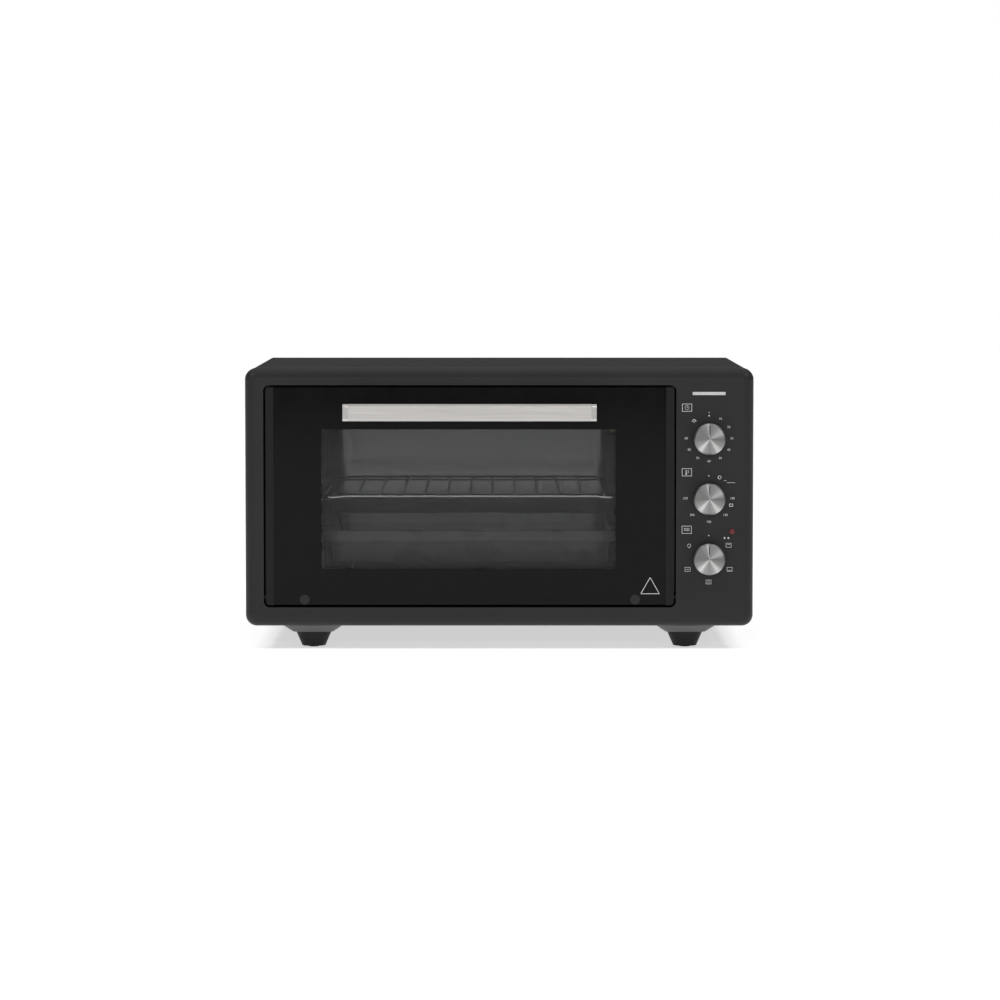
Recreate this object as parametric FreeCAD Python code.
import FreeCAD, Part
import math
import os

# A toaster oven on four feet: drop-down glass door on the left, three controls on the right.
# X runs to the right, Y from the front to the back and Z up. The model is laid out with the
# front plane of the front frame at Y = 0, and save() moves it so that the origin lies on the
# floor, below the middle of the whole oven. All sizes are in millimetres.

# ---- overall sizes ----
front_width = 560.0
front_height = 284.5
front_bottom_z = 26.0
body_depth = 395.0
sheet = 1.0

# ---- front frame ----
frame_depth = 27.0
frame_corner_radius = 12.5
frame_rim_radius = 12.0
frame_skin = 3.0
frame_border = 12.5
left_border = 20.6
bottom_border = 21.1
top_border = 18.3
control_zone_width = 85.4
door_opening_corner = 6.5
collar_wall = 2.5

# ---- cover, base and rear ----
cover_side_step = 8.4
cover_top_step = 0.2
cover_bend_radius = 2.0
cover_lip = 10.0
base_side_clearance = 1.5
base_flange_height = 17.0
base_front_flange_height = 10.0
vent_slot_width = 3.0
vent_slot_length = 30.0
vent_pitch = 9.0
vent_count = 12
vent_rows = 2
rear_vent_length = 46.0
rear_vent_columns = 3
rear_vent_rows = 7
rear_fitting_height = 3.0

# ---- feet ----
foot_from_side = 73.7
foot_from_front = 45.0
foot_from_rear = 45.0
boss_top_half = 33.3
boss_bottom_half = 22.2
boss_depth = 8.0
boss_corner_radius = 9.0
foot_top_radius = 20.2
foot_bottom_radius = 12.9
foot_lift = 1.4
pad_radius = 6.0
pad_edge_radius = 0.9
pad_socket_depth = 2.1

# ---- door ----
door_gap = 2.4
door_recess = 1.5
rail_width = 8.7
rail_web = 3.0
rail_lip = 1.0
rail_depth = 10.5
rail_corner_radius = 4.0
rail_corner_share = 0.46
outer_glass_thickness = 4.0
inner_glass_thickness = 3.0
inner_glass_overlap = 8.0
glass_edge_radius = 0.8
hinge_from_front = 8.0
hinge_from_door_bottom = 8.7
hinge_pin_radius = 2.5
hinge_pin_grip = 5.0
hinge_boss_radius = 6.0
running_clearance = 0.05
pan_side_margin = 12.0
pan_bottom_margin = 11.2
pan_top_margin = 4.8
pan_to_flange = 0.3
window_left_margin = 60.9
window_right_margin = 64.0
window_bottom_margin = 39.8
window_top_margin = 46.4
pan_window_extra = 3.0
pan_corner_radius = 5.0
pan_window_corner_radius = 6.0
inner_glass_corner_radius = 5.0
clip_length = 14.0
clip_reach = 9.0
clip_overlap = 4.0
clip_spread = 0.7

# ---- hinge stays ----
stay_from_cavity = 11.0
stay_thickness = 2.0
stay_inner_radius = 44.0
stay_outer_radius = 54.0
stay_tab_width = 14.0
stay_tab_thickness = 1.5
stay_overtravel_deg = 12.0
stay_slot_clearance = 1.0
glass_screw_head_radius = 5.5
glass_screw_head_height = 0.8
glass_screw_from_hinge = 2.5

# ---- handle ----
handle_length = 277.0
handle_height = 19.3
handle_thickness = 11.0
handle_reach = 38.0
handle_edge_radius = 3.0
handle_cap_length = 6.0
handle_from_door_top = 26.6
handle_post_spacing = 210.0
handle_post_radius = 6.5
handle_post_flare = 2.0
handle_post_flare_length = 4.0
screw_radius = 2.0
screw_head_radius = 4.0
screw_head_height = 2.0

# ---- cavity ----
cavity_side_margin = 54.5
cavity_bottom_margin = 14.3
cavity_top_margin = 9.8
cavity_rear_space = 37.0
cavity_corner_radius = 28.0
flange_side_margin = 9.0
flange_top_margin = 9.0
flange_bottom_margin = 8.0
guide_width = 6.5
guide_flange = 8.0
guide_first_height = 53.7
guide_pitch = 46.3
guide_headroom = 75.0
guide_end_gap = 14.0
support_width = 30.0
support_foot = 12.0
support_from_rear = 40.0
support_spacing = 240.0

# ---- rack and tray ----
rack_side_gap = 3.0
rack_front_gap = 6.0
rack_rear_gap = 6.0
rack_frame_radius = 2.5
rack_slat_radius = 1.5
rack_slat_pitch = 24.8
rack_slat_bite = 0.3
rack_end_margin = 10.0
rack_front_bend = 8.0
rest_clearance = 0.3
tray_side_gap = 4.0
tray_front_gap = 5.0
tray_rear_gap = 25.0
tray_height = 35.0
tray_sheet = 1.0
tray_lip_height = 11.7
tray_rim_width = 9.0
tray_corner_radius = 24.0
tray_draft = 5.0

# ---- heaters ----
heater_radius = 3.25
heater_bend_radius = 24.0
heater_from_cavity_front = 82.0
heater_from_cavity_rear = 78.0
heater_left_gap = 30.0
heater_tail = 13.0
upper_heater_drop = 18.0
lower_heater_rise = 14.0
insulator_neck_radius = 4.6
insulator_flange_radius = 8.0
insulator_flange_length = 3.5
terminal_radius = 1.5
terminal_length = 10.0
bracket_width = 16.0
bracket_height = 20.0

# ---- controls ----
knob_from_opening = 35.9
knob_pitch = 66.0
knob_row_drop = 0.7
knob_radius = 17.2
knob_height = 19.0
knob_gap = 1.0
knob_cap_wall = 1.2
knob_chamfer = 1.4
knob_skirt = 2.0
shaft_radius = 3.0
shaft_flat = 1.6
shaft_in_knob = 13.0
shaft_in_body = 9.0
shaft_hole_radius = 5.5
control_bush_radius = 4.5
control_bush_front = 6.0
control_nut_across = 13.0
control_nut_height = 2.5
bracket_plane = 14.0
bracket_plate = 1.2
bracket_side_margin = 32.0
bracket_end_margin = 40.0
bracket_flange = 10.0
timer_size = 44.0
timer_depth = 30.0
thermostat_radius = 20.0
thermostat_depth = 18.0
selector_width = 40.0
selector_height = 44.0
selector_depth = 34.0
spade_width = 6.3
spade_thickness = 0.8
spade_length = 8.0
bell_radius = 19.0
bell_height = 12.0
bell_post_radius = 3.0
bell_gap = 2.0
lamp_from_knob_x = 25.7
lamp_from_knob_z = 36.6
lens_radius = 3.3
lens_proud = 1.2
lens_flange_radius = 4.8
lens_flange_height = 1.0
lamp_radius = 4.5
lamp_length = 22.0

# ---- heat shield, thermostat bulb and oven lamp ----
shield_from_cavity = 34.0
shield_foot = 12.0
shield_top_gap = 12.0
shield_end_gap = 30.0
bulb_radius = 2.5
bulb_length = 80.0
bulb_from_wall = 8.0
bulb_drop = 44.0
bulb_from_cavity_front = 122.0
capillary_radius = 0.8
capillary_bend = 8.0
capillary_hole_radius = 2.0
clip_wall = 0.8
oven_lamp_from_cavity_rear = 46.0
oven_lamp_drop = 42.0
lamp_cover_radius = 16.0
lamp_cover_wall = 2.0
lamp_cover_depth = 14.0
lamp_holder_radius = 13.0
lamp_holder_length = 24.0
oven_bulb_radius = 7.0
oven_bulb_length = 10.0
oven_bulb_tip_radius = 6.0

# ---- cord inlet ----
cord_inlet_from_side = 65.0
cord_inlet_height = 44.0
cord_bore_radius = 4.2
cord_neck_radius = 7.0
cord_flange_radius = 10.0
cord_neck_length = 15.0
terminal_block_width = 30.0
terminal_block_depth = 20.0
terminal_block_height = 18.0
terminal_block_from_rear = 95.0

# ---- places worked out from the sizes above ----
front_top_z = front_bottom_z + front_height
frame_left_x = -front_width / 2
frame_right_x = front_width / 2

opening_left_x = frame_left_x + left_border
opening_right_x = frame_right_x - control_zone_width
opening_bottom_z = front_bottom_z + bottom_border
opening_top_z = front_top_z - top_border

door_left_x = opening_left_x + door_gap
door_right_x = opening_right_x - door_gap
door_bottom_z = opening_bottom_z + door_gap
door_top_z = opening_top_z - door_gap
door_middle_x = (door_left_x + door_right_x) / 2
door_middle_z = (door_bottom_z + door_top_z) / 2

glass_front_y = door_recess + rail_lip
glass_rear_y = glass_front_y + outer_glass_thickness
hinge_y = hinge_from_front
hinge_z = door_bottom_z + hinge_from_door_bottom
pan_rear_y = frame_depth - pan_to_flange
pan_inner_y = pan_rear_y - sheet

cavity_left_x = door_left_x + cavity_side_margin
cavity_right_x = door_right_x - cavity_side_margin
cavity_floor_z = door_bottom_z + cavity_bottom_margin
cavity_top_z = door_top_z - cavity_top_margin
cavity_front_y = frame_depth + sheet
cavity_rear_y = body_depth - cavity_rear_space
cavity_height = cavity_top_z - cavity_floor_z

cover_half_width = front_width / 2 - cover_side_step
cover_top_z = front_top_z - cover_top_step
base_bottom_z = front_bottom_z
base_top_z = base_bottom_z + sheet
rear_panel_y = body_depth - sheet
boss_floor_z = base_bottom_z - boss_depth

knob_x = opening_right_x + knob_from_opening
knob_row_z = (front_bottom_z + front_top_z) / 2 - knob_row_drop
timer_z = knob_row_z + knob_pitch
thermostat_z = knob_row_z
selector_z = knob_row_z - knob_pitch
component_y = bracket_plane + bracket_plate
lamp_x = knob_x + lamp_from_knob_x
lamp_z = thermostat_z - lamp_from_knob_z

shield_x = cavity_right_x + sheet + shield_from_cavity
handle_z = door_top_z - handle_from_door_top
handle_back_y = handle_thickness - handle_reach
upper_heater_z = cavity_top_z - upper_heater_drop
lower_heater_z = cavity_floor_z + lower_heater_rise
heater_front_y = cavity_front_y + heater_from_cavity_front
heater_rear_y = cavity_rear_y - heater_from_cavity_rear
bulb_front_y = cavity_front_y + bulb_from_cavity_front
oven_lamp_y = cavity_rear_y - oven_lamp_from_cavity_rear
tray_front_y = cavity_front_y + tray_front_gap
tray_rear_y = cavity_rear_y - tray_rear_gap
window_left_x = door_left_x + window_left_margin
window_right_x = door_right_x - window_right_margin
window_bottom_z = door_bottom_z + window_bottom_margin
window_top_z = door_top_z - window_top_margin
cord_inlet_x = front_width / 2 - cord_inlet_from_side
guide_levels = 1 + int((cavity_height - guide_first_height - guide_headroom) / guide_pitch)
tray_level_z = cavity_floor_z + guide_first_height
rack_level_z = tray_level_z + guide_pitch
bulb_z = cavity_top_z - bulb_drop
bulb_x = cavity_right_x - bulb_from_wall
oven_lamp_z = cavity_top_z - oven_lamp_drop
cord_inlet_z = base_top_z + cord_inlet_height

origin_y = (body_depth + rear_fitting_height - handle_reach) / 2

# ---- shape helpers ----


def point(x, y, z):
    return FreeCAD.Vector(x, y, z)


def block(x0, x1, y0, y1, z0, z1):
    return Part.makeBox(x1 - x0, y1 - y0, z1 - z0, point(x0, y0, z0))


def rod_x(x0, x1, y, z, radius):
    return Part.makeCylinder(radius, x1 - x0, point(x0, y, z), point(1, 0, 0))


def rod_y(x, y0, y1, z, radius):
    return Part.makeCylinder(radius, y1 - y0, point(x, y0, z), point(0, 1, 0))


def rod_z(x, y, z0, z1, radius):
    return Part.makeCylinder(radius, z1 - z0, point(x, y, z0), point(0, 0, 1))


def straight_edges(shape, direction):
    """The straight edges of a shape that run along a direction."""
    found = []
    for edge in shape.Edges:
        if isinstance(edge.Curve, Part.Line):
            if abs(edge.Curve.Direction.dot(direction)) > 0.999:
                found.append(edge)
    return found


def rounded_block(x0, x1, y0, y1, z0, z1, radius, direction):
    """A block whose four edges along a direction are rounded."""
    solid = block(x0, x1, y0, y1, z0, z1)
    return solid.makeFillet(radius, straight_edges(solid, direction))


def rounded_outline(x0, x1, y0, y1, z, radius):
    """A closed outline with round corners at one height."""
    outline = rounded_block(x0, x1, y0, y1, z, z + 1, radius, UP)
    for face in outline.Faces:
        if face.BoundBox.ZMax < z + 0.001:
            return face.OuterWire


def edges_at_y(shape, y):
    """The edges of a shape that lie in the plane at a given Y."""
    found = []
    for edge in shape.Edges:
        box = edge.BoundBox
        if abs(box.YMin - y) < 0.001 and abs(box.YMax - y) < 0.001:
            found.append(edge)
    return found


def fuse(shapes):
    """One solid from several that touch or overlap."""
    return shapes[0].multiFuse(shapes[1:]).removeSplitter()


def bent_rod(points, bend_radius, rod_radius):
    """A round rod along a route of points, with each corner an arc."""
    edges = []
    start = points[0]
    for before, corner, after in zip(points, points[1:], points[2:]):
        into = (corner - before).normalize()
        out = (after - corner).normalize()
        half_turn = into.getAngle(out) / 2
        reach = bend_radius * math.tan(half_turn)
        to_centre = (out - into).normalize()
        inset = bend_radius / math.cos(half_turn) - bend_radius
        arc_start = corner - into * reach
        arc_end = corner + out * reach
        edges.append(Part.LineSegment(start, arc_start).toShape())
        edges.append(Part.Arc(arc_start, corner + to_centre * inset, arc_end).toShape())
        start = arc_end
    edges.append(Part.LineSegment(start, points[-1]).toShape())
    profile = Part.Wire(Part.Circle(points[0], points[1] - points[0], rod_radius).toShape())
    return Part.Wire(edges).makePipeShell([profile], True, False)


def screw(place, outward, head_radius, head_height, shank_length):
    """A screw whose head stands on a surface at a place, on the outward side."""
    shank = Part.makeCylinder(screw_radius, shank_length, place, outward * -1)
    head = Part.makeCylinder(head_radius, head_height, place, outward)
    return shank.fuse(head).removeSplitter()


def screw_hole(place, outward, depth):
    """The hole for a screw at a place, through or into what lies behind the surface."""
    return Part.makeCylinder(screw_radius, depth, place, outward * -1)


def spade(x, y, z):
    """A flat connector tab that points to the rear from a component."""
    half = spade_width / 2
    return block(x - half, x + half, y, y + spade_length, z, z + spade_thickness)


def save(name, *shapes):
    """Writes one node, moved so that the origin is on the floor below the oven's middle."""
    solid = Part.makeCompound(list(shapes)) if len(shapes) > 1 else shapes[0]
    solid = solid.copy()
    solid.translate(point(0, -origin_y, 0))
    solid.exportStep(f"parts/{name}.step")


# ---- screw places ----


def frame_screw_places():
    """Screws that hold the cavity flange to the rear of the front frame."""
    left = opening_left_x - flange_side_margin / 2
    low = opening_bottom_z - flange_bottom_margin / 2
    high = opening_top_z + flange_top_margin / 2
    heights = (door_middle_z - door_middle_z / 3, door_middle_z + door_middle_z / 3)
    places = [point(left, cavity_front_y, z) for z in heights]
    for x in (cavity_left_x, cavity_right_x):
        places.append(point(x, cavity_front_y, high))
        places.append(point(x, cavity_front_y, low))
    return places


def base_screw_places():
    """Screws that hold the front flange of the base panel to the front frame."""
    z = base_bottom_z + base_front_flange_height / 2
    return [point(x, cavity_front_y, z) for x in (door_left_x, door_middle_x, knob_x)]


def cover_screw_places(side):
    """Screws through one side of the cover into the base flange."""
    x = side * cover_half_width
    z = base_bottom_z + base_flange_height / 2
    first = frame_depth + foot_from_front
    last = body_depth - foot_from_rear
    return [point(x, y, z) for y in (first, (first + last) / 2, last)]


def rear_screw_places():
    """Screws through the rear panel into the cover lips and the base flange."""
    inner = cover_half_width - sheet - cover_lip / 2
    top = cover_top_z - sheet - cover_lip / 2
    low = base_bottom_z + base_flange_height / 2
    middle = (front_bottom_z + front_top_z) / 2
    places = []
    for side in (-1, 1):
        places.append(point(side * inner, body_depth, middle))
        places.append(point(side * inner / 2, body_depth, top))
        places.append(point(side * inner / 2, body_depth, low))
    return places


def foot_places():
    """The four foot axes, on the floor."""
    half = front_width / 2 - foot_from_side
    rows = (foot_from_front, body_depth - foot_from_rear)
    return [point(side * half, y, 0) for side in (-1, 1) for y in rows]


REAR = point(0, 1, 0)
FRONT = point(0, -1, 0)
UP = point(0, 0, 1)
ALONG_X = point(1, 0, 0)


# ---- cabinet ----


def make_front_frame():
    solid = rounded_block(
        frame_left_x, frame_right_x, 0, frame_depth, front_bottom_z, front_top_z,
        frame_corner_radius, REAR,
    )
    solid = solid.makeFillet(frame_rim_radius, edges_at_y(solid, 0))
    opening = rounded_block(
        opening_left_x, opening_right_x, -1, frame_depth + 1, opening_bottom_z, opening_top_z,
        door_opening_corner, REAR,
    )
    pocket = block(
        opening_right_x + collar_wall, frame_right_x - frame_border,
        frame_skin, frame_depth + 1,
        front_bottom_z + frame_border, front_top_z - frame_border,
    )
    boss_end = opening_right_x + hinge_pin_grip + collar_wall
    boss = rod_x(opening_right_x + collar_wall, boss_end, hinge_y, hinge_z, hinge_boss_radius)
    boss = boss.common(block(opening_right_x, boss_end, 1, frame_depth, 0, front_top_z))
    solid = solid.cut(opening).cut(pocket).fuse(boss)
    holes = [
        rod_x(
            opening_left_x - hinge_pin_grip - 1, opening_left_x + 1,
            hinge_y, hinge_z, hinge_pin_radius + running_clearance,
        ),
        rod_x(
            opening_right_x - 1, opening_right_x + hinge_pin_grip + 1,
            hinge_y, hinge_z, hinge_pin_radius + running_clearance,
        ),
        rod_y(lamp_x, -1, frame_skin + 1, lamp_z, lens_radius),
    ]
    for z in (timer_z, thermostat_z, selector_z):
        holes.append(rod_y(knob_x, -1, frame_skin + 1, z, shaft_hole_radius))
    for x, z in bracket_corners():
        post = rod_y(x, frame_skin, bracket_plane, z, screw_head_radius + 1)
        solid = solid.fuse(post)
        holes.append(screw_hole(point(x, bracket_plane, z), REAR, bracket_plane - frame_skin - 1))
    for place in frame_screw_places() + base_screw_places():
        holes.append(screw_hole(place, REAR, frame_depth / 2))
    return solid.cut(Part.makeCompound(holes)).removeSplitter()


def bracket_corners():
    """Where the component bracket is screwed to posts of the front frame."""
    half_width = bracket_side_margin - bracket_plate - screw_head_radius - 1
    low = front_bottom_z + bracket_end_margin + screw_head_radius + 1
    high = front_top_z - bracket_end_margin - screw_head_radius - 1
    return [(knob_x + side * half_width, z) for side in (-1, 1) for z in (low, high)]


def vent_slots_x(x0, x1, y_first, z_first):
    """Rows of upright slots with round ends, cut along X."""
    slots = []
    half = vent_slot_width / 2
    for row in range(vent_rows):
        z0 = z_first + row * (vent_slot_length + 2 * vent_pitch)
        for index in range(vent_count):
            y = y_first + index * vent_pitch
            slots.append(
                rounded_block(
                    x0, x1, y - half, y + half, z0, z0 + vent_slot_length, half - 0.01, ALONG_X,
                )
            )
    return slots


def make_cabinet_cover():
    outer = block(
        -cover_half_width, cover_half_width, frame_depth, body_depth, base_bottom_z, cover_top_z,
    )
    top_edges = [e for e in straight_edges(outer, REAR) if e.BoundBox.ZMin > base_top_z + 1]
    outer = outer.makeFillet(cover_bend_radius, top_edges)
    inner = block(
        -cover_half_width + sheet, cover_half_width - sheet, frame_depth, body_depth,
        base_bottom_z - 1, cover_top_z - sheet,
    )
    top_edges = [e for e in straight_edges(inner, REAR) if e.BoundBox.ZMin > base_top_z + 1]
    inner = inner.makeFillet(cover_bend_radius - sheet, top_edges)
    lip_bottom_z = base_bottom_z + base_flange_height + 1
    lip = inner.common(
        block(
            -cover_half_width, cover_half_width, rear_panel_y - sheet, rear_panel_y,
            lip_bottom_z, cover_top_z,
        )
    )
    lip = lip.cut(
        block(
            -cover_half_width + sheet + cover_lip, cover_half_width - sheet - cover_lip,
            frame_depth, body_depth, 0, cover_top_z - sheet - cover_lip,
        )
    )
    cover = fuse([outer.cut(inner), lip])
    vents = []
    vent_first_y = body_depth - foot_from_rear - (vent_count - 1) * vent_pitch
    vent_first_z = (front_bottom_z + front_top_z) / 2
    for side in (-1, 1):
        x = side * cover_half_width
        vents += vent_slots_x(x - 2, x + 2, vent_first_y, vent_first_z)
        for place in cover_screw_places(side):
            vents.append(screw_hole(place, ALONG_X * side, 2 * sheet))
    for place in rear_screw_places():
        vents.append(screw_hole(place, REAR, 3 * sheet))
    return cover.cut(Part.makeCompound(vents))


def make_base_panel():
    side_x = cover_half_width - sheet
    inner_x = side_x - cover_lip - base_side_clearance
    top = base_bottom_z + base_flange_height
    pieces = [
        block(-side_x, side_x, frame_depth, rear_panel_y, base_bottom_z, base_top_z),
        block(
            -inner_x, inner_x, frame_depth, frame_depth + sheet,
            base_bottom_z, base_bottom_z + base_front_flange_height,
        ),
        block(
            -inner_x, inner_x, rear_panel_y - sheet, rear_panel_y, base_bottom_z, top,
        ),
    ]
    for side in (-1, 1):
        edges = sorted((side * side_x, side * (side_x - sheet)))
        pieces.append(
            block(edges[0], edges[1], frame_depth, rear_panel_y - 2 * sheet, base_bottom_z, top)
        )
    hollows = []
    for side in (-1, 1):
        for place in cover_screw_places(side):
            hollows.append(screw_hole(place, ALONG_X * side, 3 * sheet))
    for place in base_screw_places():
        hollows.append(screw_hole(place, REAR, 2 * sheet))
    for place in rear_screw_places():
        hollows.append(screw_hole(place, REAR, 3 * sheet))
    return fuse(pieces).cut(Part.makeCompound(hollows)).removeSplitter()


def boss_frustum(place, inset, low_z, high_z):
    """A foot boss's tapered block between two heights, inset on all four sides."""
    slope = (boss_top_half - boss_bottom_half) / boss_depth
    outlines = []
    for z in (low_z, high_z):
        half = boss_bottom_half + slope * (z - boss_floor_z) - inset
        corner = boss_corner_radius * half / boss_top_half
        outlines.append(
            rounded_outline(
                place.x - half, place.x + half, place.y - half, place.y + half, z, corner,
            )
        )
    return Part.makeLoft(outlines, True, True)


def make_foot_bosses():
    """Pressed cups under the base panel, one above each foot."""
    bosses = []
    for place in foot_places():
        outer = boss_frustum(place, 0, boss_floor_z, base_bottom_z)
        hollow = boss_frustum(place, sheet, boss_floor_z + sheet, base_bottom_z + sheet)
        hole = rod_z(place.x, place.y, boss_floor_z - 1, boss_floor_z + 2 * sheet, screw_radius)
        bosses.append(outer.cut(hollow).cut(hole))
    return bosses


def make_rear_panel():
    side_x = cover_half_width - sheet
    panel = block(-side_x, side_x, rear_panel_y, body_depth, base_bottom_z, cover_top_z - sheet)
    top_edges = [e for e in straight_edges(panel, REAR) if e.BoundBox.ZMin > base_top_z + 1]
    panel = panel.makeFillet(cover_bend_radius - sheet, top_edges)
    holes = [rod_y(cord_inlet_x, rear_panel_y - 1, body_depth + 1, cord_inlet_z, cord_neck_radius)]
    half = vent_slot_width / 2
    column_pitch = rear_vent_length + 3 * vent_pitch
    for column in range(rear_vent_columns):
        x0 = -(rear_vent_columns - 1) / 2 * column_pitch + column * column_pitch
        x0 += door_middle_x - rear_vent_length / 2
        for row in range(rear_vent_rows):
            z = (front_bottom_z + front_top_z) / 2 + row * vent_pitch
            holes.append(
                rounded_block(
                    x0, x0 + rear_vent_length, rear_panel_y - 1, body_depth + 1,
                    z - half, z + half, half - 0.01, REAR,
                )
            )
    for place in rear_screw_places():
        holes.append(screw_hole(place, REAR, 2 * sheet))
    return panel.cut(Part.makeCompound(holes))


def rounded_cavity(grow, front_y):
    """The cavity space, grown on all sides, with its upright rear corners rounded."""
    solid = block(
        cavity_left_x - grow, cavity_right_x + grow, front_y, cavity_rear_y + grow,
        cavity_floor_z - grow, cavity_top_z + grow,
    )
    corners = [e for e in straight_edges(solid, UP) if e.BoundBox.YMin > cavity_front_y]
    return solid.makeFillet(cavity_corner_radius + grow, corners)


def make_cavity_liner():
    box = rounded_cavity(sheet, cavity_front_y)
    flange = block(
        opening_left_x - flange_side_margin, opening_right_x + collar_wall,
        frame_depth, cavity_front_y,
        opening_bottom_z - flange_bottom_margin, opening_top_z + flange_top_margin,
    )
    holes = [rounded_cavity(0, frame_depth - 1)]
    stay_slot_x = stay_thickness / 2 + stay_slot_clearance
    to_front = frame_depth - hinge_y
    to_rear = cavity_front_y - hinge_y
    slot_low_z = hinge_z + math.sqrt(stay_inner_radius**2 - to_rear**2) - stay_slot_clearance
    slot_high_z = hinge_z + math.sqrt(stay_outer_radius**2 - to_front**2) + stay_slot_clearance
    for x in stay_places():
        holes.append(
            block(
                x - stay_slot_x, x + stay_slot_x, frame_depth - 1, cavity_front_y + 1,
                slot_low_z, slot_high_z,
            )
        )
    wall = (cavity_right_x - 1, cavity_right_x + sheet + 1)
    for z in (upper_heater_z, lower_heater_z):
        for y in (heater_front_y, heater_rear_y):
            holes.append(rod_x(wall[0], wall[1], y, z, insulator_neck_radius))
    holes.append(rod_x(wall[0], wall[1], capillary_y(), bulb_z, capillary_hole_radius))
    holes.append(rod_x(wall[0], wall[1], oven_lamp_y, oven_lamp_z, lamp_holder_radius))
    for place in frame_screw_places():
        holes.append(screw_hole(place, REAR, 2 * sheet))
    return fuse([box, flange]).cut(Part.makeCompound(holes)).removeSplitter()


def make_rack_guides():
    """Folded ledges on both side walls, one pair for each shelf level."""
    ledges = []
    y0 = cavity_front_y + guide_end_gap
    y1 = cavity_rear_y - cavity_corner_radius
    for level in range(guide_levels):
        top = cavity_floor_z + guide_first_height + level * guide_pitch
        for wall_x, side in ((cavity_left_x, 1), (cavity_right_x, -1)):
            ledge = sorted((wall_x, wall_x + side * guide_width))
            flange = sorted((wall_x, wall_x + side * sheet))
            ledges.append(
                fuse([
                    block(ledge[0], ledge[1], y0, y1, top - sheet, top),
                    block(flange[0], flange[1], y0, y1, top - guide_flange, top),
                ])
            )
    return ledges


def make_cavity_supports():
    """Folded brackets that carry the rear of the cavity on the base panel."""
    supports = []
    top = cavity_floor_z - sheet
    y = cavity_rear_y - support_from_rear
    for side in (-1, 1):
        x = door_middle_x + side * support_spacing / 2
        x0 = x - support_width / 2
        x1 = x + support_width / 2
        supports.append(
            fuse([
                block(x0, x1, y, y + sheet, base_top_z, top),
                block(x0, x1, y, y + support_foot, top - sheet, top),
                block(x0, x1, y - support_foot + sheet, y + sheet, base_top_z, base_top_z + sheet),
            ])
        )
    return supports


# ---- heaters ----


def make_heater(z):
    """A sheathed element: two runs across the cavity joined by a bend at the left."""
    end_x = cavity_right_x + sheet + heater_tail
    turn_x = cavity_left_x + heater_left_gap
    route = [
        point(end_x, heater_front_y, z),
        point(turn_x, heater_front_y, z),
        point(turn_x, heater_rear_y, z),
        point(end_x, heater_rear_y, z),
    ]
    return bent_rod(route, heater_bend_radius, heater_radius)


def make_heater_insulators():
    rings = []
    flange_x = cavity_right_x + sheet
    for z in (upper_heater_z, lower_heater_z):
        for y in (heater_front_y, heater_rear_y):
            ring = rod_x(cavity_right_x, flange_x, y, z, insulator_neck_radius)
            flange_end = flange_x + insulator_flange_length
            ring = ring.fuse(rod_x(flange_x, flange_end, y, z, insulator_flange_radius))
            ring = ring.cut(rod_x(cavity_right_x - 1, flange_end + 1, y, z, heater_radius))
            rings.append(ring.removeSplitter())
    return rings


def make_heater_terminals():
    pins = []
    x = cavity_right_x + sheet + heater_tail
    for z in (upper_heater_z, lower_heater_z):
        for y in (heater_front_y, heater_rear_y):
            pin = rod_x(x, x + terminal_length / 2, y, z, terminal_radius)
            half = spade_width / 2
            tab = block(
                x + terminal_length / 2 - 1, x + terminal_length, y - half, y + half,
                z - spade_thickness / 2, z + spade_thickness / 2,
            )
            pins.append(fuse([pin, tab]))
    return pins


def make_heater_brackets():
    """A folded tongue under the bend of each element, fixed to the left wall."""
    brackets = []
    y = (heater_front_y + heater_rear_y) / 2
    y0 = y - bracket_width / 2
    y1 = y + bracket_width / 2
    reach_x = cavity_left_x + heater_left_gap + heater_radius + sheet
    for z in (upper_heater_z, lower_heater_z):
        top = z - heater_radius - running_clearance
        upright_top = min(top + bracket_height, cavity_top_z)
        brackets.append(
            fuse([
                block(cavity_left_x, cavity_left_x + sheet, y0, y1, top - sheet, upright_top),
                block(cavity_left_x, reach_x, y0, y1, top - sheet, top),
                block(reach_x - sheet, reach_x, y0, y1, top - sheet, z),
            ])
        )
    return brackets


# ---- controls ----


def with_bush(body, z, bore_end):
    """Adds the fixed bush of a control to its body and bores it for the shaft."""
    bush = rod_y(knob_x, control_bush_front, component_y, z, control_bush_radius)
    bore = rod_y(
        knob_x, control_bush_front - 1, bore_end, z, shaft_radius + running_clearance,
    )
    return body.fuse(bush).cut(bore).removeSplitter()


def make_component_bracket():
    x0 = knob_x - bracket_side_margin
    x1 = knob_x + bracket_side_margin
    z0 = front_bottom_z + bracket_end_margin
    z1 = front_top_z - bracket_end_margin
    plate = fuse([
        block(x0, x1, bracket_plane, component_y, z0, z1),
        block(x0, x0 + bracket_plate, bracket_plane, component_y + bracket_flange, z0, z1),
        block(x1 - bracket_plate, x1, bracket_plane, component_y + bracket_flange, z0, z1),
    ])
    holes = []
    for z in (timer_z, thermostat_z, selector_z):
        holes.append(rod_y(knob_x, bracket_plane - 1, component_y + 1, z, control_bush_radius))
    holes.append(rod_y(lamp_x, bracket_plane - 1, component_y + 1, lamp_z, lamp_radius))
    for x, z in bracket_corners():
        holes.append(screw_hole(point(x, component_y, z), REAR, 2 * bracket_plate))
    return plate.cut(Part.makeCompound(holes))


def make_timer_body():
    half = timer_size / 2
    rear = component_y + timer_depth
    body = rounded_block(
        knob_x - half, knob_x + half, component_y, rear, timer_z - half, timer_z + half,
        3, REAR,
    )
    body = body.fuse(rod_y(knob_x, rear, rear + bell_gap, timer_z, bell_post_radius))
    for side in (-1, 1):
        body = body.fuse(spade(knob_x + side * half * 0.6, rear, timer_z - half + 4))
    return with_bush(body, timer_z, component_y + shaft_in_body)


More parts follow.
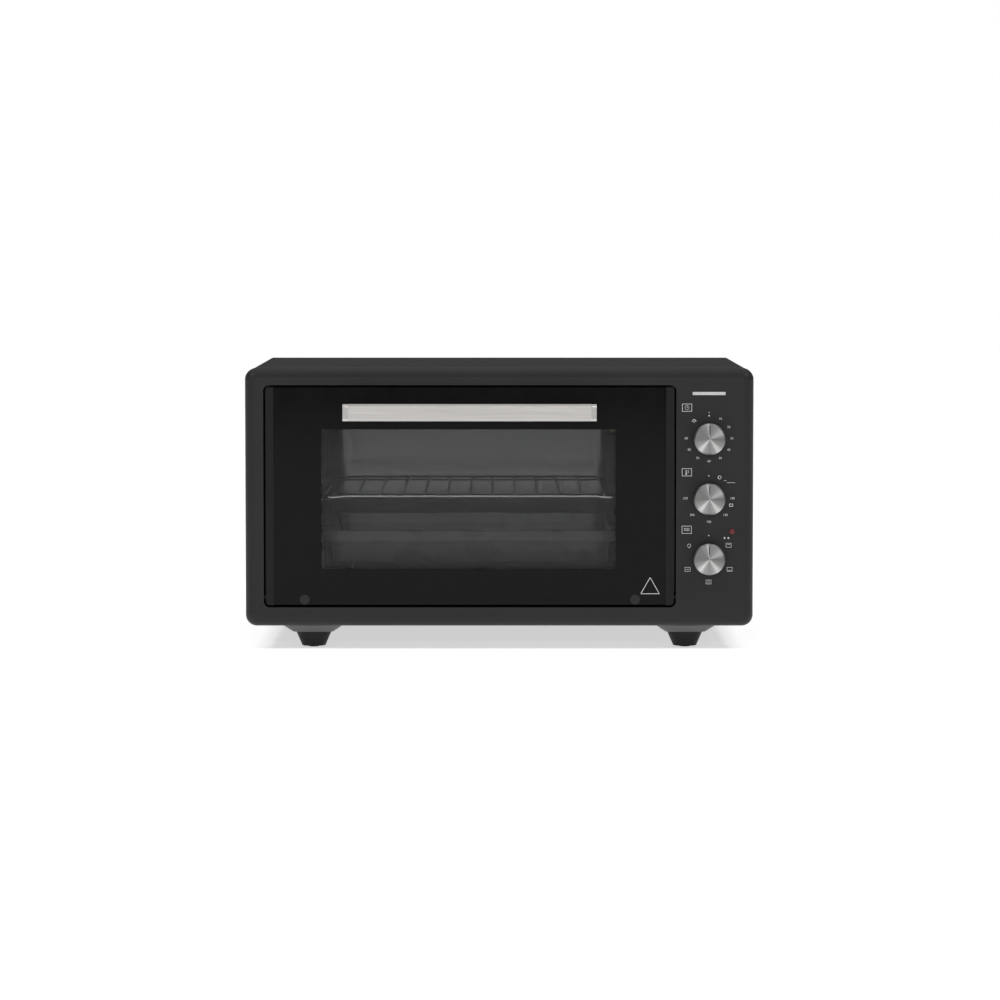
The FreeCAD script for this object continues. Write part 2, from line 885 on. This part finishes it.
def make_timer_bell():
    """A shallow gong screwed to the rear of the timer."""
    base_y = component_y + timer_depth + bell_gap
    outer = rod_y(knob_x, base_y, base_y + bell_height, timer_z, bell_radius)
    outer = outer.makeFillet(4, edges_at_y(outer, base_y))
    inner = rod_y(knob_x, base_y + sheet, base_y + bell_height, timer_z, bell_radius - sheet)
    inner = inner.makeFillet(3, edges_at_y(inner, base_y + sheet))
    return outer.cut(inner)


def make_thermostat_body():
    rear = component_y + thermostat_depth
    body = rod_y(knob_x, component_y, rear, thermostat_z, thermostat_radius)
    for side in (-1, 1):
        x = knob_x + side * thermostat_radius * 0.6
        body = body.fuse(spade(x, rear, thermostat_z + thermostat_radius * 0.3))
    return with_bush(body, thermostat_z, component_y + shaft_in_body)


def make_selector_switch():
    half_x = selector_width / 2
    half_z = selector_height / 2
    rear = component_y + selector_depth
    body = rounded_block(
        knob_x - half_x, knob_x + half_x, component_y, rear,
        selector_z - half_z, selector_z + half_z, 2, REAR,
    )
    for column in (-1, 1):
        for row in (-1, 0, 1):
            body = body.fuse(
                spade(knob_x + column * half_x * 0.5, rear, selector_z + row * half_z * 0.6)
            )
    return with_bush(body, selector_z, component_y + shaft_in_body)


def make_control_nuts():
    nuts = []
    corner = control_nut_across / 2 / math.cos(math.pi / 6)
    for z in (timer_z, thermostat_z, selector_z):
        corners = []
        for index in range(7):
            angle = index * math.pi / 3
            corners.append(
                point(knob_x + corner * math.cos(angle), bracket_plane, z + corner * math.sin(angle))
            )
        face = Part.Face(Part.makePolygon(corners))
        nut = face.extrude(point(0, -control_nut_height, 0))
        bore = rod_y(
            knob_x, bracket_plane - control_nut_height - 1, bracket_plane + 1, z,
            control_bush_radius,
        )
        nuts.append(nut.cut(bore))
    return nuts


def make_shaft(z):
    """A control shaft with a flat along its front end."""
    front = knob_front_y() + knob_height - knob_gap - shaft_in_knob
    shaft = rod_y(knob_x, front, component_y + shaft_in_body - 0.5, z, shaft_radius)
    flat = block(
        knob_x - shaft_radius, knob_x + shaft_radius, front - 1, 0,
        z + shaft_flat, z + shaft_radius + 1,
    )
    return shaft.cut(flat)


def knob_front_y():
    return -knob_height


def make_knob_cap(z):
    """The spun metal cap over a knob's core."""
    front = knob_front_y()
    rear = -knob_gap - knob_skirt
    cap = rod_y(knob_x, front, rear, z, knob_radius)
    cap = cap.makeChamfer(knob_chamfer, edges_at_y(cap, front))
    inner = rod_y(knob_x, front + knob_cap_wall, rear, z, knob_radius - knob_cap_wall)
    inner = inner.makeChamfer(knob_chamfer / 2, edges_at_y(inner, front + knob_cap_wall))
    return cap.cut(inner)


def make_knob(z):
    """A knob's moulded core, with a skirt that shows behind the cap."""
    front = knob_front_y() + knob_cap_wall
    rear = -knob_gap
    core = rod_y(knob_x, front, rear, z, knob_radius - knob_cap_wall)
    core = core.makeChamfer(knob_chamfer / 2, edges_at_y(core, front))
    skirt = rod_y(knob_x, rear - knob_skirt, rear, z, knob_radius - knob_cap_wall / 2)
    core = core.fuse(skirt)
    shaft = make_shaft(z)
    relief = rod_y(knob_x, rear - knob_skirt, rear + 1, z, shaft_radius)
    return core.cut(shaft).cut(relief).removeSplitter()


def make_indicator_lens():
    lens = rod_y(lamp_x, -lens_proud, frame_skin, lamp_z, lens_radius)
    lens = lens.makeFillet(lens_proud - 0.1, edges_at_y(lens, -lens_proud))
    flange_end = frame_skin + lens_flange_height
    flange = rod_y(lamp_x, frame_skin, flange_end, lamp_z, lens_flange_radius)
    return lens.fuse(flange).removeSplitter()


def make_indicator_lamp():
    start = frame_skin + lens_flange_height
    lamp = rod_y(lamp_x, start, start + lamp_length, lamp_z, lamp_radius)
    return fuse([lamp, spade(lamp_x, start + lamp_length, lamp_z)])


# ---- heat shield, thermostat bulb and oven lamp ----


def make_heat_shield():
    y0 = cavity_front_y + shield_end_gap
    y1 = cavity_rear_y - cavity_corner_radius / 2
    z1 = cover_top_z - sheet - shield_top_gap
    shield = fuse([
        block(shield_x, shield_x + sheet, y0, y1, base_top_z, z1),
        block(shield_x, shield_x + shield_foot, y0, y1, base_top_z, base_top_z + sheet),
    ])
    hole = rod_x(
        shield_x - 1, shield_x + sheet + 1, capillary_y(), bulb_z, capillary_hole_radius,
    )
    return shield.cut(hole)


def capillary_y():
    """Where the capillary tube passes through the cavity wall."""
    return bulb_front_y - 3 * capillary_bend


def make_thermostat_bulb():
    bulb = rod_y(bulb_x, bulb_front_y, bulb_front_y + bulb_length, bulb_z, bulb_radius)
    run_x = (shield_x + knob_x) / 2
    route = [
        point(bulb_x, bulb_front_y + 1, bulb_z),
        point(bulb_x, capillary_y(), bulb_z),
        point(run_x, capillary_y(), bulb_z),
        point(run_x, capillary_y(), thermostat_z),
        point(knob_x, capillary_y(), thermostat_z),
        point(knob_x, component_y + thermostat_depth, thermostat_z),
    ]
    return fuse([bulb, bent_rod(route, capillary_bend, capillary_radius)])


def make_bulb_clips():
    clips = []
    for share in (0.25, 0.75):
        y = bulb_front_y + bulb_length * share
        y0 = y - 4
        y1 = y + 4
        ring = rod_y(bulb_x, y0, y1, bulb_z, bulb_radius + clip_wall)
        arm = block(bulb_x, cavity_right_x, y0, y1, bulb_z - clip_wall / 2, bulb_z + clip_wall / 2)
        foot = block(
            cavity_right_x - clip_wall, cavity_right_x, y0, y1, bulb_z - 6, bulb_z + 6,
        )
        clip = fuse([ring, arm, foot])
        clips.append(clip.cut(rod_y(bulb_x, y0 - 1, y1 + 1, bulb_z, bulb_radius)))
    return clips


def make_lamp_cover():
    x = cavity_right_x
    outer = rod_x(x - lamp_cover_depth, x, oven_lamp_y, oven_lamp_z, lamp_cover_radius)
    rim = [e for e in outer.Edges if e.BoundBox.XMax < x - lamp_cover_depth + 0.01]
    outer = outer.makeFillet(5, rim)
    inner = rod_x(
        x - lamp_cover_depth + lamp_cover_wall, x, oven_lamp_y, oven_lamp_z,
        lamp_cover_radius - lamp_cover_wall,
    )
    rim = [e for e in inner.Edges if e.BoundBox.XMax < x - lamp_cover_depth + 3]
    return outer.cut(inner.makeFillet(3, rim))


def make_lamp_holder():
    x = cavity_right_x
    body = rod_x(x, x + lamp_holder_length, oven_lamp_y, oven_lamp_z, lamp_holder_radius)
    flange = rod_x(
        x + sheet, x + sheet + 2, oven_lamp_y, oven_lamp_z, lamp_holder_radius + 4,
    )
    return fuse([body, flange])


def make_oven_lamp():
    x = cavity_right_x
    bulb = rod_x(x - oven_bulb_length, x, oven_lamp_y, oven_lamp_z, oven_bulb_radius)
    tip = [e for e in bulb.Edges if e.BoundBox.XMax < x - oven_bulb_length + 0.01]
    return bulb.makeFillet(oven_bulb_tip_radius, tip)


def make_terminal_block():
    half = terminal_block_width / 2
    y1 = rear_panel_y - terminal_block_from_rear
    y0 = y1 - terminal_block_depth
    return rounded_block(
        cord_inlet_x - half, cord_inlet_x + half, y0, y1,
        base_top_z, base_top_z + terminal_block_height, 2, UP,
    )


def make_cord_inlet_bush():
    rear = body_depth + rear_fitting_height
    parts = [
        rod_y(cord_inlet_x, rear_panel_y - cord_neck_length, rear, cord_inlet_z, cord_neck_radius),
        rod_y(cord_inlet_x, body_depth, rear, cord_inlet_z, cord_flange_radius),
        rod_y(
            cord_inlet_x, rear_panel_y - rear_fitting_height, rear_panel_y,
            cord_inlet_z, cord_flange_radius - 1,
        ),
    ]
    bore = rod_y(
        cord_inlet_x, rear_panel_y - cord_neck_length - 1, rear + 1, cord_inlet_z,
        cord_bore_radius,
    )
    return fuse(parts).cut(bore)


# ---- feet ----


def make_feet():
    feet = []
    for place in foot_places():
        foot = Part.makeCone(
            foot_bottom_radius, foot_top_radius, boss_floor_z - foot_lift,
            point(place.x, place.y, foot_lift), UP,
        )
        socket = rod_z(place.x, place.y, 0, foot_lift + pad_socket_depth, pad_radius)
        pilot = rod_z(
            place.x, place.y, foot_lift + pad_socket_depth, boss_floor_z + 1, screw_radius,
        )
        feet.append(foot.cut(socket).cut(pilot))
    return feet


def make_foot_pads():
    pads = []
    for place in foot_places():
        pad = rod_z(place.x, place.y, 0, foot_lift + pad_socket_depth, pad_radius)
        rim = [edge for edge in pad.Edges if edge.BoundBox.ZMax < foot_lift / 2]
        pads.append(pad.makeFillet(pad_edge_radius, rim))
    return pads


def make_foot_screws():
    screws = []
    shank = boss_floor_z + sheet - foot_lift - pad_socket_depth - 1
    for place in foot_places():
        seat = point(place.x, place.y, boss_floor_z + sheet)
        screws.append(screw(seat, UP, screw_head_radius, screw_head_height, shank))
    return screws


# ---- door ----


def make_outer_glass():
    glass = block(
        door_left_x + rail_web, door_right_x - rail_web, glass_front_y, glass_rear_y,
        door_bottom_z, door_top_z,
    )
    glass = glass.makeFillet(glass_edge_radius, straight_edges(glass, ALONG_X))
    holes = []
    for x in handle_post_places():
        holes.append(screw_hole(point(x, glass_rear_y, handle_z), REAR, 2 * glass_rear_y))
    for x in stay_places():
        place = point(x, glass_front_y, hinge_z - glass_screw_from_hinge)
        holes.append(screw_hole(place, FRONT, 2 * glass_rear_y))
    return glass.cut(Part.makeCompound(holes))


def make_door_rail(outer_x, inward):
    """A side rail that grips one upright edge of the glass and carries a hinge pin."""
    front_lip = sorted((outer_x, outer_x + inward * rail_width))
    web = sorted((outer_x, outer_x + inward * rail_web))
    rail = rounded_block(
        front_lip[0], front_lip[1], door_recess, door_recess + rail_depth,
        door_bottom_z, door_top_z, min(rail_corner_radius, rail_width * rail_corner_share), REAR,
    )
    square = sorted((outer_x + inward * rail_width / 2, outer_x + inward * rail_width))
    rail = rail.fuse(
        block(
            square[0], square[1], door_recess, door_recess + rail_depth,
            door_bottom_z, door_top_z,
        )
    )
    glass_slot = sorted((outer_x + inward * rail_web, outer_x + inward * (rail_width + 1)))
    rail = rail.cut(
        block(
            glass_slot[0], glass_slot[1], glass_front_y, glass_rear_y,
            door_bottom_z - 1, door_top_z + 1,
        )
    )
    rear_space = block(
        glass_slot[0], glass_slot[1], glass_rear_y + rail_lip, door_recess + rail_depth + 1,
        door_bottom_z - 1, door_top_z + 1,
    )
    rail = rail.cut(rear_space)
    pin_hole = rod_x(web[0] - 1, web[1] + 1, hinge_y, hinge_z, hinge_pin_radius)
    return rail.cut(pin_hole).removeSplitter()


def make_hinge_pins():
    """Pins from the rails into the blind bores of the front frame."""
    left = rod_x(
        opening_left_x - hinge_pin_grip, door_left_x + rail_web, hinge_y, hinge_z,
        hinge_pin_radius,
    )
    right = rod_x(
        door_right_x - rail_web, opening_right_x + hinge_pin_grip, hinge_y, hinge_z,
        hinge_pin_radius,
    )
    clear_of_glass = block(
        door_left_x + rail_web - 1, door_right_x - rail_web + 1,
        glass_front_y, glass_rear_y, door_bottom_z, door_top_z,
    )
    return [left.cut(clear_of_glass), right.cut(clear_of_glass)]


def handle_post_places():
    half = handle_post_spacing / 2
    return [door_middle_x - half, door_middle_x + half]


def stay_places():
    left = cavity_left_x - sheet - stay_from_cavity
    right = cavity_right_x + sheet + stay_from_cavity
    return [left, right]


def make_door_pan():
    """The pressed inner pan of the door, open to the glass and with a window at its rear."""
    x0 = door_left_x + pan_side_margin
    x1 = door_right_x - pan_side_margin
    z0 = door_bottom_z + pan_bottom_margin
    z1 = door_top_z - pan_top_margin
    pan = rounded_block(x0, x1, glass_rear_y, pan_rear_y, z0, z1, pan_corner_radius, REAR)
    hollow = rounded_block(
        x0 + sheet, x1 - sheet, glass_rear_y, pan_inner_y, z0 + sheet, z1 - sheet,
        pan_corner_radius - sheet, REAR,
    )
    window = rounded_block(
        window_left_x - pan_window_extra, window_right_x + pan_window_extra,
        pan_inner_y - 1, pan_rear_y + 1,
        window_bottom_z - pan_window_extra, window_top_z + pan_window_extra,
        pan_window_corner_radius, REAR,
    )
    pan = pan.cut(hollow).cut(window)
    stays = make_hinge_stays()
    return pan.cut(Part.makeCompound(stays)).removeSplitter()


def make_inner_glass():
    extra = pan_window_extra + inner_glass_overlap
    glass = rounded_block(
        window_left_x - extra, window_right_x + extra,
        pan_inner_y - inner_glass_thickness, pan_inner_y,
        window_bottom_z - extra, window_top_z + extra,
        inner_glass_corner_radius, REAR,
    )
    return glass


def make_inner_glass_clips():
    """Z-shaped clips that press the inner glass against the pan."""
    clips = []
    extra = pan_window_extra + inner_glass_overlap
    low = window_bottom_z - extra
    high = window_top_z + extra
    middle = (window_left_x + window_right_x) / 2
    span = (window_right_x - window_left_x) / 2
    front = pan_inner_y - inner_glass_thickness
    for offset in (-clip_spread, 0, clip_spread):
        x = middle + offset * span
        x0 = x - clip_length / 2
        x1 = x + clip_length / 2
        for edge, side in ((low, -1), (high, 1)):
            over = sorted((edge - side * clip_overlap, edge + side * sheet))
            step = sorted((edge, edge + side * sheet))
            foot = sorted((edge, edge + side * clip_reach))
            clips.append(
                fuse([
                    block(x0, x1, front - sheet, front, over[0], over[1]),
                    block(x0, x1, front - sheet, pan_inner_y, step[0], step[1]),
                    block(x0, x1, pan_inner_y - sheet, pan_inner_y, foot[0], foot[1]),
                ])
            )
    return clips


def make_hinge_stays():
    """Curved stays about the hinge axis that slide through slots in the cavity flange."""
    stays = []
    tab_front_y = pan_inner_y - stay_tab_thickness
    start_reach = tab_front_y - hinge_y
    start_angle = math.asin(start_reach / stay_outer_radius)
    end_angle = start_angle + math.radians(90 + stay_overtravel_deg)
    low_z = hinge_z + math.sqrt(stay_inner_radius**2 - (pan_inner_y - hinge_y) ** 2)
    high_z = hinge_z + math.sqrt(stay_outer_radius**2 - start_reach**2)
    foot_top = door_bottom_z + pan_bottom_margin + sheet + 4
    for x in stay_places():
        band = stay_band(x - stay_thickness / 2, start_angle, end_angle)
        ahead = block(
            x - stay_thickness, x + stay_thickness,
            hinge_y - stay_outer_radius, tab_front_y, hinge_z, front_top_z,
        )
        x0 = x - stay_tab_width / 2
        x1 = x + stay_tab_width / 2
        tab = block(
            x0, x1, tab_front_y, pan_inner_y, low_z, high_z + stay_tab_width / 2,
        )
        riser = block(
            x0, x1, tab_front_y, pan_inner_y, foot_top - stay_tab_thickness, low_z,
        )
        shelf = block(
            x0, x1, glass_rear_y, pan_inner_y, foot_top - stay_tab_thickness, foot_top,
        )
        foot = block(
            x0, x1, glass_rear_y, glass_rear_y + stay_tab_thickness,
            hinge_z - 2 * glass_screw_from_hinge - 1, foot_top,
        )
        screw_gap = screw_hole(
            point(x, glass_front_y, hinge_z - glass_screw_from_hinge), FRONT, frame_depth,
        )
        stays.append(fuse([band.cut(ahead), tab, riser, shelf, foot.cut(screw_gap)]))
    return stays


def stay_band(x0, start_angle, end_angle):
    """A flat curved band about the hinge axis, between two angles from straight up."""

    def on_circle(radius, angle):
        return point(x0, hinge_y + radius * math.sin(angle), hinge_z + radius * math.cos(angle))

    middle = (start_angle + end_angle) / 2
    outer = [on_circle(stay_outer_radius, a) for a in (start_angle, middle, end_angle)]
    inner = [on_circle(stay_inner_radius, a) for a in (end_angle, middle, start_angle)]
    edges = [
        Part.Arc(*outer).toShape(),
        Part.LineSegment(outer[-1], inner[0]).toShape(),
        Part.Arc(*inner).toShape(),
        Part.LineSegment(inner[-1], outer[0]).toShape(),
    ]
    return Part.Face(Part.Wire(edges)).extrude(point(stay_thickness, 0, 0))


def make_glass_screws():
    screws = []
    for x in stay_places():
        place = point(x, glass_front_y, hinge_z - glass_screw_from_hinge)
        screws.append(
            screw(
                place, FRONT, glass_screw_head_radius, glass_screw_head_height,
                outer_glass_thickness + stay_tab_thickness,
            )
        )
    return screws


def make_handle_bar():
    half = handle_length / 2 - handle_cap_length
    return handle_section(door_middle_x - half, door_middle_x + half)


def handle_section(x0, x1):
    """A stretch of the handle's rounded bar."""
    return rounded_block(
        x0, x1, -handle_reach, handle_back_y,
        handle_z - handle_height / 2, handle_z + handle_height / 2,
        handle_edge_radius, ALONG_X,
    )


def make_handle_end_caps():
    half = handle_length / 2
    inner = half - handle_cap_length
    caps = [
        handle_section(door_middle_x - half, door_middle_x - inner),
        handle_section(door_middle_x + inner, door_middle_x + half),
    ]
    return caps


def make_handle_posts():
    posts = []
    for x in handle_post_places():
        post = rod_y(x, handle_back_y, glass_front_y, handle_z, handle_post_radius)
        flare = Part.makeCone(
            handle_post_radius, handle_post_radius + handle_post_flare,
            handle_post_flare_length,
            point(x, glass_front_y - handle_post_flare_length, handle_z), REAR,
        )
        bore = screw_hole(point(x, glass_front_y, handle_z), REAR, handle_reach / 2)
        posts.append(fuse([post, flare]).cut(bore))
    return posts


def make_handle_screws():
    screws = []
    for x in handle_post_places():
        place = point(x, glass_rear_y, handle_z)
        length = outer_glass_thickness + handle_reach / 2 - 1
        screws.append(screw(place, REAR, screw_head_radius, screw_head_height, length))
    return screws


# ---- rack and tray ----


def rack_corners():
    """The rack's frame, along the middle of its wire: low X, high X, low Y, high Y."""
    return (
        cavity_left_x + rack_side_gap + rack_frame_radius,
        cavity_right_x - rack_side_gap - rack_frame_radius,
        cavity_front_y + rack_front_gap + rack_frame_radius,
        cavity_rear_y - rack_rear_gap - rack_frame_radius,
    )


def make_rack_frame():
    """The rack's outer wire, with tight bends in front and wide ones at the rear."""
    x0, x1, y0, y1 = rack_corners()
    z = rack_level_z + rest_clearance + rack_frame_radius
    middle_y = (y0 + y1) / 2
    front_route = [
        point(x0, middle_y, z), point(x0, y0, z), point(x1, y0, z), point(x1, middle_y, z),
    ]
    rear_route = [
        point(x1, middle_y, z), point(x1, y1, z), point(x0, y1, z), point(x0, middle_y, z),
    ]
    return fuse([
        bent_rod(front_route, rack_front_bend, rack_frame_radius),
        bent_rod(rear_route, cavity_corner_radius - rack_side_gap, rack_frame_radius),
    ])


def make_rack_slats():
    """Slats laid over the front and rear wires of the rack and welded to them."""
    x0, x1, y0, y1 = rack_corners()
    frame_z = rack_level_z + rest_clearance + rack_frame_radius
    z = frame_z + rack_frame_radius + rack_slat_radius - rack_slat_bite
    gaps = int((x1 - x0 - 2 * rack_end_margin) / rack_slat_pitch)
    first = (x0 + x1) / 2 - gaps * rack_slat_pitch / 2
    frame = make_rack_frame()
    slats = []
    for index in range(gaps + 1):
        x = first + index * rack_slat_pitch
        slat = rod_y(x, y0 - rack_slat_radius, y1 + rack_slat_radius, z, rack_slat_radius)
        slats.append(slat.cut(frame))
    return slats


def tray_shell(inset, top, bottom):
    """The tray's tapered body, inset on all sides, between two heights."""
    x0 = cavity_left_x + tray_side_gap + tray_rim_width + inset
    x1 = cavity_right_x - tray_side_gap - tray_rim_width - inset
    y0 = tray_front_y + tray_rim_width + inset
    y1 = tray_rear_y - tray_rim_width - inset
    radius = tray_corner_radius - tray_rim_width - inset
    wide = rounded_outline(x0, x1, y0, y1, top, radius)
    narrow = rounded_outline(
        x0 + tray_draft, x1 - tray_draft, y0 + tray_draft, y1 - tray_draft, bottom, radius,
    )
    return Part.makeLoft([narrow, wide], True, True)


def make_baking_tray():
    x0 = cavity_left_x + tray_side_gap
    x1 = cavity_right_x - tray_side_gap
    y0 = tray_front_y
    y1 = tray_rear_y
    low = tray_level_z
    top = low + tray_lip_height
    bottom = top - tray_height
    rim = rounded_block(x0, x1, y0, y1, low, top, tray_corner_radius, UP)
    under_rim = rounded_block(
        x0 + tray_sheet, x1 - tray_sheet, y0 + tray_sheet, y1 - tray_sheet,
        low - 1, top - tray_sheet, tray_corner_radius - tray_sheet, UP,
    )
    outer = tray_shell(0, top, bottom)
    inner = tray_shell(tray_sheet, top, bottom + tray_sheet)
    return fuse([rim.cut(under_rim), outer]).cut(inner).removeSplitter()


# ---- the whole oven ----


def screws_at(places, outward, shank_length):
    return [
        screw(place, outward, screw_head_radius, screw_head_height, shank_length)
        for place in places
    ]


def main():
    os.makedirs("parts", exist_ok=True)
    save("front_frame", make_front_frame())
    save("cabinet_cover", make_cabinet_cover())
    save("base_panel", make_base_panel())
    save("foot_bosses", *make_foot_bosses())
    save("rear_panel", make_rear_panel())
    save("cavity_liner", make_cavity_liner())
    save("rack_guides", *make_rack_guides())
    save("cavity_supports", *make_cavity_supports())
    save("upper_heater", make_heater(upper_heater_z))
    save("lower_heater", make_heater(lower_heater_z))
    save("heater_insulators", *make_heater_insulators())
    save("heater_terminals", *make_heater_terminals())
    save("heater_brackets", *make_heater_brackets())
    save("heat_shield", make_heat_shield())
    save("component_bracket", make_component_bracket())
    save("timer_body", make_timer_body())
    save("timer_bell", make_timer_bell())
    save("thermostat_body", make_thermostat_body())
    save("thermostat_bulb", make_thermostat_bulb())
    save("bulb_clips", *make_bulb_clips())
    save("selector_switch", make_selector_switch())
    save("control_nuts", *make_control_nuts())
    save("indicator_lens", make_indicator_lens())
    save("indicator_lamp", make_indicator_lamp())
    save("lamp_cover", make_lamp_cover())
    save("lamp_holder", make_lamp_holder())
    save("oven_lamp", make_oven_lamp())
    save("terminal_block", make_terminal_block())
    save("cord_inlet_bush", make_cord_inlet_bush())
    save("feet", *make_feet())
    save("foot_pads", *make_foot_pads())
    save("foot_screws", *make_foot_screws())
    frame_places = frame_screw_places() + base_screw_places()
    save("frame_screws", *screws_at(frame_places, REAR, frame_depth / 2))
    side_screws = []
    for side in (-1, 1):
        side_screws += screws_at(cover_screw_places(side), ALONG_X * side, 2 * sheet + 2)
    save("cover_screws", *side_screws)
    save("rear_screws", *screws_at(rear_screw_places(), REAR, 2 * sheet + 2))
    bracket_places = [point(x, component_y, z) for x, z in bracket_corners()]
    save("bracket_screws", *screws_at(bracket_places, REAR, bracket_plane - frame_skin - 1))

    save("door_glass_outer", make_outer_glass())
    save("door_rail_left", make_door_rail(door_left_x, 1))
    save("door_rail_right", make_door_rail(door_right_x, -1))
    save("hinge_pins", *make_hinge_pins())
    save("door_pan", make_door_pan())
    save("door_glass_inner", make_inner_glass())
    save("inner_glass_clips", *make_inner_glass_clips())
    save("hinge_stays", *make_hinge_stays())
    save("glass_screws", *make_glass_screws())
    save("handle_bar", make_handle_bar())
    save("handle_end_caps", *make_handle_end_caps())
    save("handle_posts", *make_handle_posts())
    save("handle_screws", *make_handle_screws())

    controls = (("timer", timer_z), ("thermostat", thermostat_z), ("selector", selector_z))
    for name, z in controls:
        save(f"{name}_shaft", make_shaft(z))
        save(f"{name}_knob", make_knob(z))
        save(f"{name}_knob_cap", make_knob_cap(z))

    save("rack_frame", make_rack_frame())
    save("rack_slats", *make_rack_slats())
    save("baking_tray", make_baking_tray())


main()
